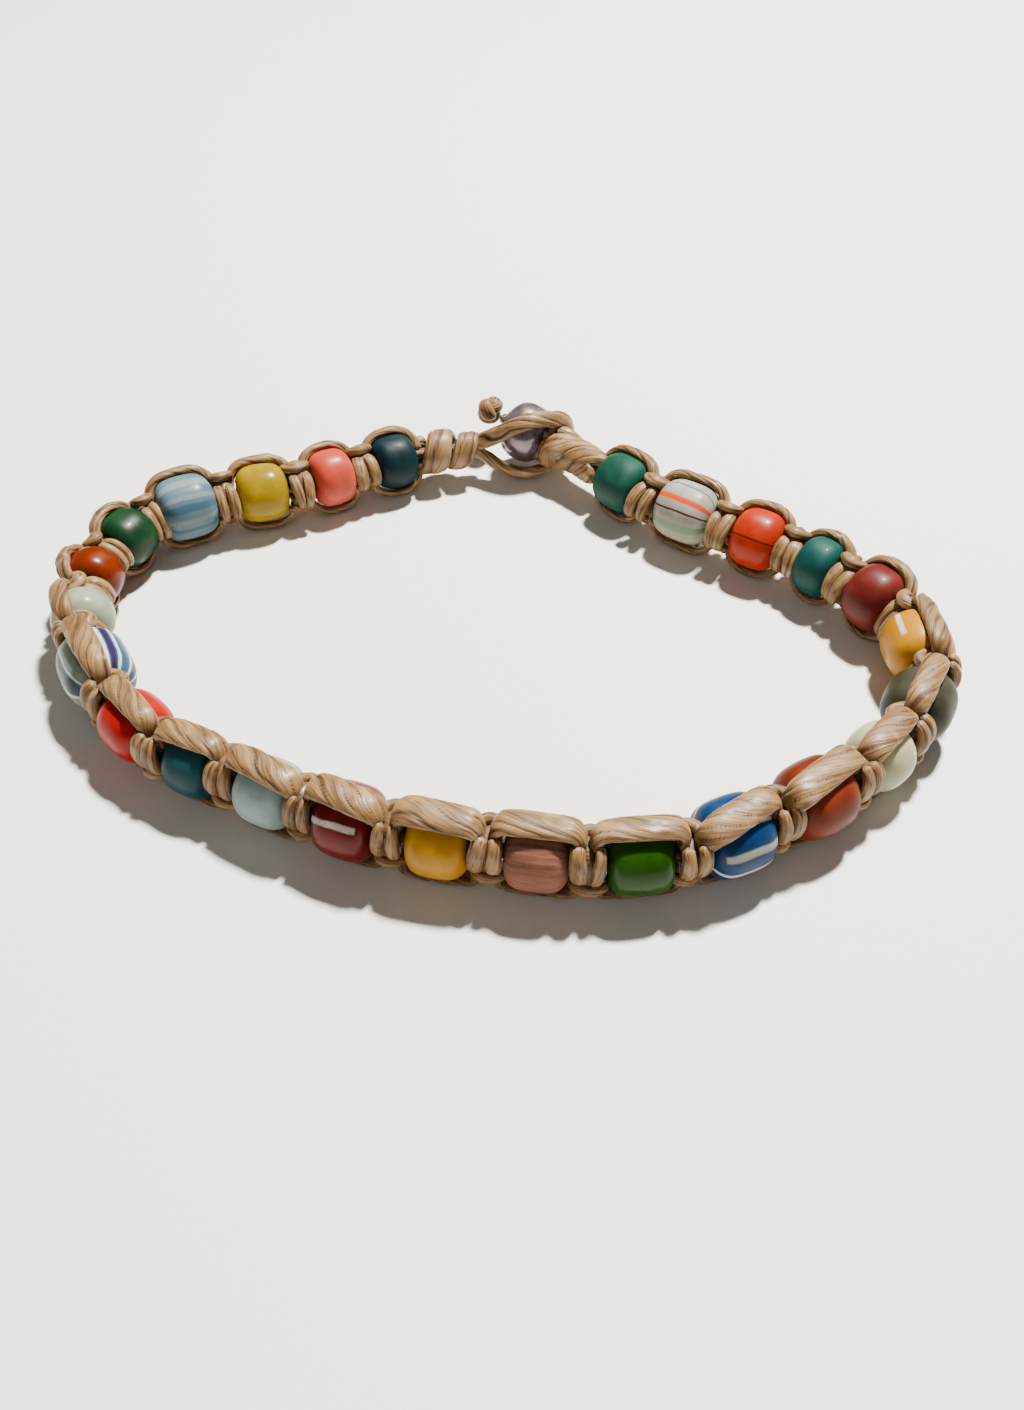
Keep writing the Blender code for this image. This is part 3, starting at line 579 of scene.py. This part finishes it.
class Graph:
    """A short way to write a material's nodes."""

    def __init__(self, name):
        self.material = bpy.data.materials.new(name)
        self.material.use_nodes = True
        self.tree = self.material.node_tree
        self.shader = self.tree.nodes["Principled BSDF"]

    def node(self, kind, **settings):
        """A new node with the given settings."""
        made = self.tree.nodes.new(kind)
        for key, value in settings.items():
            setattr(made, key, value)
        return made

    def link(self, source, target):
        """Link an output to an input."""
        self.tree.links.new(source, target)

    def math(self, operation, a, b=None):
        """A Math node's result."""
        made = self.node("ShaderNodeMath", operation=operation)
        self.feed(made.inputs[0], a)
        if b is not None:
            self.feed(made.inputs[1], b)
        return made.outputs[0]

    def feed(self, socket, value):
        """Give an input a number, a colour or a link."""
        if isinstance(value, (int, float)):
            socket.default_value = value
        elif isinstance(value, tuple):
            socket.default_value = (*value, 1) if len(value) == 3 and socket.type == "RGBA" else value
        else:
            self.link(value, socket)

    def mix(self, factor, a, b):
        """Two colours mixed."""
        made = self.node("ShaderNodeMix", data_type="RGBA")
        self.feed(made.inputs[0], factor)
        self.feed(made.inputs[6], a)
        self.feed(made.inputs[7], b)
        return made.outputs[2]

    def noise(self, vector, scale, detail=3.0, roughness=0.55):
        """A noise at a place."""
        made = self.node("ShaderNodeTexNoise")
        made.inputs["Scale"].default_value = scale
        made.inputs["Detail"].default_value = detail
        made.inputs["Roughness"].default_value = roughness
        self.link(vector, made.inputs["Vector"])
        return made.outputs["Fac"]

    def span(self, value, low, high, to_low=0.0, to_high=1.0):
        """A value taken smoothly from one range to another."""
        made = self.node("ShaderNodeMapRange", interpolation_type="SMOOTHSTEP")
        self.feed(made.inputs["Value"], value)
        made.inputs["From Min"].default_value = low
        made.inputs["From Max"].default_value = high
        made.inputs["To Min"].default_value = to_low
        made.inputs["To Max"].default_value = to_high
        return made.outputs["Result"]

    def stretched(self, vector, x, y, z):
        """A place scaled along each axis."""
        made = self.node("ShaderNodeMapping")
        made.inputs["Scale"].default_value = (x, y, z)
        self.link(vector, made.inputs["Vector"])
        return made.outputs["Vector"]

    def bump(self, height, strength, distance, normal=None):
        """A fine relief on the surface's normal."""
        made = self.node("ShaderNodeBump")
        made.inputs["Strength"].default_value = strength
        made.inputs["Distance"].default_value = distance
        self.link(height, made.inputs["Height"])
        if normal is not None:
            self.link(normal, made.inputs["Normal"])
        return made.outputs["Normal"]


def cord_material(name, tone, pale, dark, painted_sheen):
    """Waxed linen cord: lengthwise fibres, pale patches of painted sheen, painted shade between the fibres
    and down between the plies.
    """
    g = Graph(name)
    uv = g.node("ShaderNodeUVMap", uv_map="UVMap").outputs["UV"]
    place = g.node("ShaderNodeTexCoord").outputs["Object"]
    depth = g.node("ShaderNodeAttribute", attribute_name="groove").outputs["Fac"]
    streak = g.noise(g.stretched(uv, 11.0, 0.16, 1.0), 1.0, 3.0, 0.55)
    fibre = g.noise(g.stretched(uv, 46.0, 0.30, 1.0), 1.0, 2.0, 0.5)
    patch = g.noise(place, 420.0, 3.0, 0.55)
    colour = g.mix(g.span(streak, 0.38, 0.62), tone, pale)
    colour = g.mix(g.span(fibre, 0.52, 0.68, 0.0, 0.55), colour, pale)
    # Painted sheen: pale pinkish patches, standing for the waxed cord's highlights, lie over it at random
    colour = g.mix(g.span(patch, 0.52, 0.72, 0.0, 0.50), colour, painted_sheen)
    # Painted shade: dark streaks for the gaps between the fibres
    colour = g.mix(g.span(fibre, 0.46, 0.30, 0.0, 0.60), colour, dark)
    # Painted shade: darker down in the grooves between the plies
    colour = g.mix(g.span(depth, 0.72, 0.25, 0.0, 0.88), colour, dark)
    g.link(colour, g.shader.inputs["Base Color"])
    g.link(g.span(patch, 0.35, 0.75, 0.55, 0.30), g.shader.inputs["Roughness"])
    g.shader.inputs["Specular IOR Level"].default_value = 0.30
    g.shader.inputs["Sheen Weight"].default_value = 0.04
    g.shader.inputs["Sheen Roughness"].default_value = 0.4
    g.shader.inputs["Coat Weight"].default_value = 0.05
    g.shader.inputs["Coat Roughness"].default_value = 0.22
    rough = g.bump(fibre, 0.70, 0.00008)
    g.link(g.bump(streak, 0.50, 0.00012, rough), g.shader.inputs["Normal"])
    return g.material


def bead_material(number):
    """A bead's glass: two tones that cloud into each other, lengthwise stripes, and a soft gloss."""
    bead = BEADS[number]
    g = Graph(f"glass_{number + 1:02d}")
    uv = g.node("ShaderNodeUVMap", uv_map="UVMap").outputs["UV"]
    place = g.node("ShaderNodeTexCoord").outputs["Object"]
    cloud = g.noise(place, 330.0, 3.0, 0.55)
    grain = g.noise(place, 2600.0, 2.0, 0.5)
    colour = g.mix(g.span(cloud, 0.35, 0.68), bead.tone, bead.shade)
    if bead.stripes:
        parts = g.node("ShaderNodeSeparateXYZ")
        g.link(uv, parts.inputs[0])
        wobble = g.math("MULTIPLY", g.math("SUBTRACT", g.noise(place, 500.0, 2.0), 0.5), 0.016)
        turn = g.math("ADD", parts.outputs[0], wobble)
        for stripe in bead.stripes:
            shifted = g.math("FRACT", g.math("ADD", turn, 0.5 - (stripe.angle % 360) / 360 + 1))
            off = g.math("ABSOLUTE", g.math("SUBTRACT", shifted, 0.5))
            half = stripe.width / 720
            cover = g.span(off, half * 1.40, half * 0.60)
            if stripe.stop - stripe.start < FULL_STRIPE:
                centre = (stripe.start + stripe.stop) / 2
                reach = (stripe.stop - stripe.start) / 2
                away = g.math("ABSOLUTE", g.math("SUBTRACT", parts.outputs[1], centre))
                cover = g.math("MULTIPLY", cover, g.span(away, reach + 0.04, reach - 0.04))
            colour = g.mix(cover, colour, stripe.tint)
    if bead.ribs:
        rib = g.noise(g.stretched(uv, 46.0, 0.9, 1.0), 1.0, 3.0, 0.6)
        colour = g.mix(g.span(rib, 0.55, 0.34, 0.0, 0.5), colour, tuple(0.6 * v for v in bead.tone))
    colour = g.mix(g.span(grain, 0.40, 0.28, 0.0, 0.30), colour, tuple(0.5 * v for v in bead.tone))
    g.link(colour, g.shader.inputs["Base Color"])
    g.link(g.span(cloud, 0.3, 0.7, bead.gloss + 0.06, bead.gloss * 1.4 + 0.10), g.shader.inputs["Roughness"])
    g.shader.inputs["IOR"].default_value = 1.52
    g.shader.inputs["Specular IOR Level"].default_value = 0.13
    g.shader.inputs["Coat Weight"].default_value = max(0.0, 0.09 - bead.gloss * 0.22)
    g.shader.inputs["Coat Roughness"].default_value = 0.08
    if bead.glow:
        g.shader.inputs["Subsurface Weight"].default_value = bead.glow
        g.shader.inputs["Subsurface Radius"].default_value = (1.0, 0.8, 0.6)
        g.shader.inputs["Subsurface Scale"].default_value = 0.0012
    soft = g.bump(cloud, 0.18, 0.00012)
    g.link(g.bump(grain, 0.05, 0.00003, soft), g.shader.inputs["Normal"])
    return g.material


def button_material():
    """The clasp bead's finish: a dark purple-grey metallic glaze, mottled, with a bright gloss."""
    g = Graph("button_glaze")
    place = g.node("ShaderNodeTexCoord").outputs["Object"]
    cloud = g.noise(place, 620.0, 4.0, 0.6)
    speck = g.noise(place, 3600.0, 2.0, 0.5)
    colour = g.mix(g.span(cloud, 0.35, 0.68), (0.075, 0.056, 0.068), (0.145, 0.115, 0.134))
    colour = g.mix(g.span(speck, 0.56, 0.74, 0.0, 0.30), colour, (0.24, 0.20, 0.225))
    g.link(colour, g.shader.inputs["Base Color"])
    g.shader.inputs["Metallic"].default_value = 0.55
    g.link(g.span(cloud, 0.3, 0.7, 0.24, 0.40), g.shader.inputs["Roughness"])
    g.shader.inputs["Coat Weight"].default_value = 0.8
    g.shader.inputs["Coat Roughness"].default_value = 0.07
    g.link(g.bump(speck, 0.12, 0.00003), g.shader.inputs["Normal"])
    return g.material


# Of the cord's tones, the darkest stands for painted shade and the palest for a painted sheen
CORD = cord_material(
    "waxed_cord", tone=(0.128, 0.063, 0.020), pale=(0.240, 0.140, 0.055), dark=(0.020, 0.009, 0.003),
    painted_sheen=(0.410, 0.285, 0.155),
)
# A darker copy of the cord, as painted shade, for the knots' hearts and the core
SHADED_CORD = cord_material(
    "core_cord", tone=(0.075, 0.033, 0.010), pale=(0.130, 0.068, 0.025), dark=(0.014, 0.006, 0.002),
    painted_sheen=(0.200, 0.125, 0.070),
)


def dress(obj, node):
    """Hide the CAD node that a piece stands for."""
    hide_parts(node)


def make_band():
    """The two knotting cords over and under the beads, and the knots between them."""
    for name, sign, seed in (("upper_knotting_cord", 1, 11), ("lower_knotting_cord", -1, 23)):
        random = np.random.RandomState(seed)
        arcs = [arc_rows(number, sign, random) for number in range(len(BEADS))]
        dress(sweep_cords(name, arcs, CORD, seed=seed, plies=6, twist=0.42, ridge=0.085),
              "knotted_band")
    random = np.random.RandomState(37)
    for name, sign in (("outer_knots", 1), ("inner_knots", -1)):
        strands = []
        for number in range(1, len(BEADS)):
            strands += [strand_rows(number, BAR, sign, mirror, random) for mirror in (-1, 1)]
        dress(sweep_cords(name, strands, CORD, seed=43 + sign, plies=7, twist=0.25, ridge=0.045, around=32),
              "knotted_band")
    # The hearts are drawn in the darker cord, a painted shade inside the knots
    hearts = [strand_rows(number, KNOT_HEART, 1, 1, random) for number in range(1, len(BEADS))]
    dress(sweep_cords("knot_hearts", hearts, SHADED_CORD, seed=49, plies=12, twist=0.2, ridge=0.06, around=28),
          "knotted_band")
    bights = []
    for sign in (1, -1):
        bights += [strand_rows(number, BIGHT, sign, 1, random) for number in range(1, len(BEADS))]
    dress(sweep_cords("knot_bights", bights, CORD, seed=47, plies=6, twist=0.3, ridge=0.04, around=28),
          "knotted_band")


def line_frames(start, stop, count):
    """Places along the string's line between two distances, with their level directions."""
    distances = run_lengths(LINE)
    places = []
    for s in np.linspace(start, stop, count):
        here = at_distance(LINE, distances, s)
        ahead = at_distance(LINE, distances, s + 0.2)
        behind = at_distance(LINE, distances, s - 0.2)
        places.append((here, unit(ahead - behind)))
    return places


def helix_rows(centres, turns, start_angle, radius, width, thick):
    """A cord wound round a run of middles; radius, width and thickness may taper from start to end."""
    rows = []
    count = len(centres)
    for index, (centre, along) in enumerate(centres):
        share = index / (count - 1)
        angle = start_angle + turns * 2 * math.pi * share
        side = unit(np.cross([0, 0, 1.0], along))
        rise = unit(np.cross(along, side))
        outward = side * math.cos(angle) + rise * math.sin(angle)
        r, w, h = (np.interp(share, np.linspace(0, 1, len(v)), v) for v in (radius, width, thick))
        rows.append(row(centre + outward * r, outward, w, h))
    return rows


def make_left_wraps():
    """The left end: two fat wraps round the core by the first bead, narrower towards the loop's neck."""
    middles = []
    for centre, along in line_frames(start=-0.1, stop=STOPS[0] + 0.9, count=57):
        middles.append((np.array([centre[0], centre[1], KNOTS[0][2]]), along))
    rows = helix_rows(middles[::-1], turns=2.35, start_angle=2.4, radius=(1.45, 1.65, 1.60, 1.35, 0.80),
                      width=(2.4, 2.9, 2.7, 2.3, 1.5), thick=(1.3, 1.5, 1.5, 1.3, 1.0))
    dress(sweep_cords("left_wraps", [rows], CORD, seed=31, plies=5, twist=0.16, ridge=0.13, spacing=0.2),
          "knotted_band")


def make_right_wraps():
    """The right end: three fat strands laid round the core, from the last knot to the clasp bead."""
    end = run_lengths(LINE)[-1]
    route = [here for here, _ in line_frames(start=STOPS[-1] - 0.9, stop=end - 0.6, count=6)]
    route = [np.array([x, y, KNOTS[-1][2]]) for x, y, _ in route]
    entry = BUTTON_CENTRE + SHIFT - BUTTON_AXIS * BUTTON_LENGTH / 2
    smooth = catmull([*route, entry - BUTTON_AXIS * 0.9, entry + BUTTON_AXIS * 0.2], spacing=0.2)
    tangent = np.gradient(smooth, axis=0)
    middles = [(place, unit(along)) for place, along in zip(smooth, tangent)]
    strands = []
    for start in (0.4, 0.4 + 2.1, 0.4 + 4.2):
        strands.append(helix_rows(
            middles, turns=-0.95, start_angle=start, radius=(1.05, 1.20, 1.20, 1.45, 1.30),
            width=(2.1, 2.6, 2.6, 3.0, 2.5), thick=(1.4, 1.5, 1.5, 1.8, 1.5),
        ))
    dress(sweep_cords("right_wraps", strands, CORD, seed=41, plies=7, twist=0.25, ridge=0.11, spacing=0.2),
          "knotted_band")


def make_core():
    """The core cord: through the string and out through the clasp bead."""
    entry = BUTTON_CENTRE + SHIFT - BUTTON_AXIS * (BUTTON_LENGTH / 2 + 1.3)
    exit_point = BUTTON_CENTRE + SHIFT + BUTTON_AXIS * (BUTTON_LENGTH / 2 + 0.9)
    distances = run_lengths(LINE)
    start = at_distance(LINE, distances, 0.5)
    start[2] = KNOTS[0][2]
    places = [start, *KNOTS, entry, exit_point]
    rows = [row(place, (0, 0, 1.0), width=1.1, thick=1.1) for place in places]
    # The core is drawn in the same darker cord, painted shade
    strand = sweep_cords("core_strand", [rows], SHADED_CORD, seed=53, plies=5, twist=0.9, ridge=0.05, around=20,
                         spacing=0.4)
    dress(strand, "core_cord")


def make_loop():
    """The clasp's loop: a cord out of the left wraps, over and under the clasp bead and behind its neck."""
    string_end = np.array([*ROUTE[0], KNOTS[0][2]]) + SHIFT
    button = BUTTON_CENTRE + SHIFT
    drawn = [string_end + p for p in np.array(LOOP_FROM_STRING_END)]
    drawn += [button + p for p in np.array(LOOP_FROM_BUTTON)]
    drawn += [string_end + p for p in np.array(LOOP_TO_STRING_END)]
    smooth = catmull(drawn, spacing=0.5)
    tangent = np.gradient(smooth, axis=0)
    tangent /= np.linalg.norm(tangent, axis=1)[:, None]
    rows = []
    for place, along in zip(smooth, tangent):
        away = place - button
        away = unit(away - along * np.dot(away, along))
        rows.append(row(place, away, width=1.75, thick=1.15))
    dress(sweep_cords("loop_strand", [rows], CORD, seed=61, plies=5, twist=0.22, ridge=0.14, spacing=0.2),
          "clasp_loop")


def make_end_knot():
    """The ball knot that stops the clasp bead: one thick cord in a flattened trefoil, drawn tight."""
    centre = BUTTON_CENTRE + SHIFT + BUTTON_AXIS * END_KNOT_OFFSET
    side = unit(np.cross([0, 0, 1.0], BUTTON_AXIS))
    rise = np.cross(BUTTON_AXIS, side)
    rows = []
    reach = 0.98
    steps = 48
    for index in range(steps + 1):
        a = 2 * math.pi * index / steps + 0.3
        x = (math.sin(a) + 2 * math.sin(2 * a)) / 3
        y = (math.cos(a) - 2 * math.cos(2 * a)) / 3
        z = -math.sin(3 * a) * 0.42
        place = centre + reach * (side * x + rise * y + BUTTON_AXIS * z * 1.1)
        rows.append(row(place, unit(place - centre), width=1.55, thick=1.3))
    dress(sweep_cords("ball_knot", [rows], CORD, seed=71, plies=7, twist=0.2, ridge=0.05, spacing=0.15),
          "end_knot")


def make_button():
    """The clasp bead: a round drilled bead with a metallic glaze."""
    centre = BUTTON_CENTRE + SHIFT
    side = unit(np.cross([0, 0, 1.0], BUTTON_AXIS))
    rise = np.cross(BUTTON_AXIS, side)
    radius = BUTTON_DIAMETER / 2
    shares = np.sin(np.linspace(-math.pi / 2, math.pi / 2, BUTTON_RINGS))
    radii = radius * (1 - np.abs(shares) ** 2.6) ** 0.5
    outline = [(s, r) for s, r in zip(shares, radii) if r > HOLE_RADIUS + OUTLINE_END]
    first, last = outline[0], outline[-1]
    rim = [(last[0] * 1.012, HOLE_RADIUS + 0.24), (last[0] * 1.008, HOLE_RADIUS + 0.10),
           (last[0] * 0.97, HOLE_RADIUS)]
    profile = [*outline, *rim, *[(-share, r) for share, r in reversed(rim)], first]
    angle = 2 * math.pi * np.arange(BEAD_AROUND) / BEAD_AROUND
    rings = []
    for share, r in profile:
        middle = centre + BUTTON_AXIS * share * BUTTON_LENGTH / 2
        ring = np.cos(angle)[:, None] * r * side[None] + np.sin(angle)[:, None] * r * rise[None]
        rings.append(middle[None] + ring)
    along = np.array([share for share, _ in profile])
    obj = turned_piece("button", np.array(rings), along, button_material())
    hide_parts("clasp_bead")


# The camera, fitted to the beads' middles in the photograph: the focal length in its pixels, the pitch
# downwards, and the place before SHIFT
PHOTO_HEIGHT = 1410
FOCAL_PX = 1250.0
PITCH = math.radians(43.5245)
CAMERA_DRAWN = np.array([1.534, -88.854, 77.403])
SENSOR = 36.0


def make_camera():
    """The camera at the photograph's angle, looking along +Y and down."""
    data = bpy.data.cameras.new("camera")
    data.sensor_width = SENSOR
    data.lens = FOCAL_PX * SENSOR / PHOTO_HEIGHT
    data.clip_start = 0.002
    data.clip_end = 5.0
    camera = bpy.data.objects.new("camera", data)
    camera.location = Vector(CAMERA_DRAWN + SHIFT) * MM
    camera.rotation_euler = (math.pi / 2 - PITCH, 0, 0)
    bpy.context.scene.collection.objects.link(camera)
    bpy.context.scene.camera = camera


def make_floor():
    """A plain pale floor."""
    g = Graph("floor")
    g.shader.inputs["Base Color"].default_value = (0.78, 0.77, 0.74, 1)
    g.shader.inputs["Roughness"].default_value = 0.65
    bpy.ops.mesh.primitive_plane_add(size=1.6, location=(0, 0, 0))
    floor = bpy.context.object
    floor.name = "floor"
    floor.data.materials.append(g.material)


def area_light(name, place, size, power, colour, glossy=True):
    """A soft square light aimed at the bracelet."""
    data = bpy.data.lights.new(name, "AREA")
    data.size = size
    data.energy = power
    data.color = colour
    light = bpy.data.objects.new(name, data)
    light.location = place
    light.rotation_euler = (-Vector(place)).to_track_quat("-Z", "Y").to_euler()
    light.visible_glossy = glossy
    bpy.context.scene.collection.objects.link(light)


def make_lights():
    """A high key from behind on the right, a wide fill from the camera's side, and an even surround."""
    area_light("key", place=(0.14, 0.22, 0.55), size=0.055, power=18.5, colour=(1.0, 0.95, 0.87))
    area_light("fill", place=(-0.15, -0.45, 0.40), size=0.45, power=0.65, colour=(1.0, 0.93, 0.85),
               glossy=False)
    world = bpy.data.worlds.new("surround")
    world.use_nodes = True
    background = world.node_tree.nodes["Background"]
    background.inputs["Color"].default_value = (1.0, 0.94, 0.87, 1)
    background.inputs["Strength"].default_value = 0.12
    bpy.context.scene.world = world


make_camera()
for bead_number in range(len(BEADS)):
    make_bead(bead_number)
make_band()
make_left_wraps()
make_right_wraps()
make_core()
make_loop()
make_end_knot()
make_button()
make_floor()
make_lights()
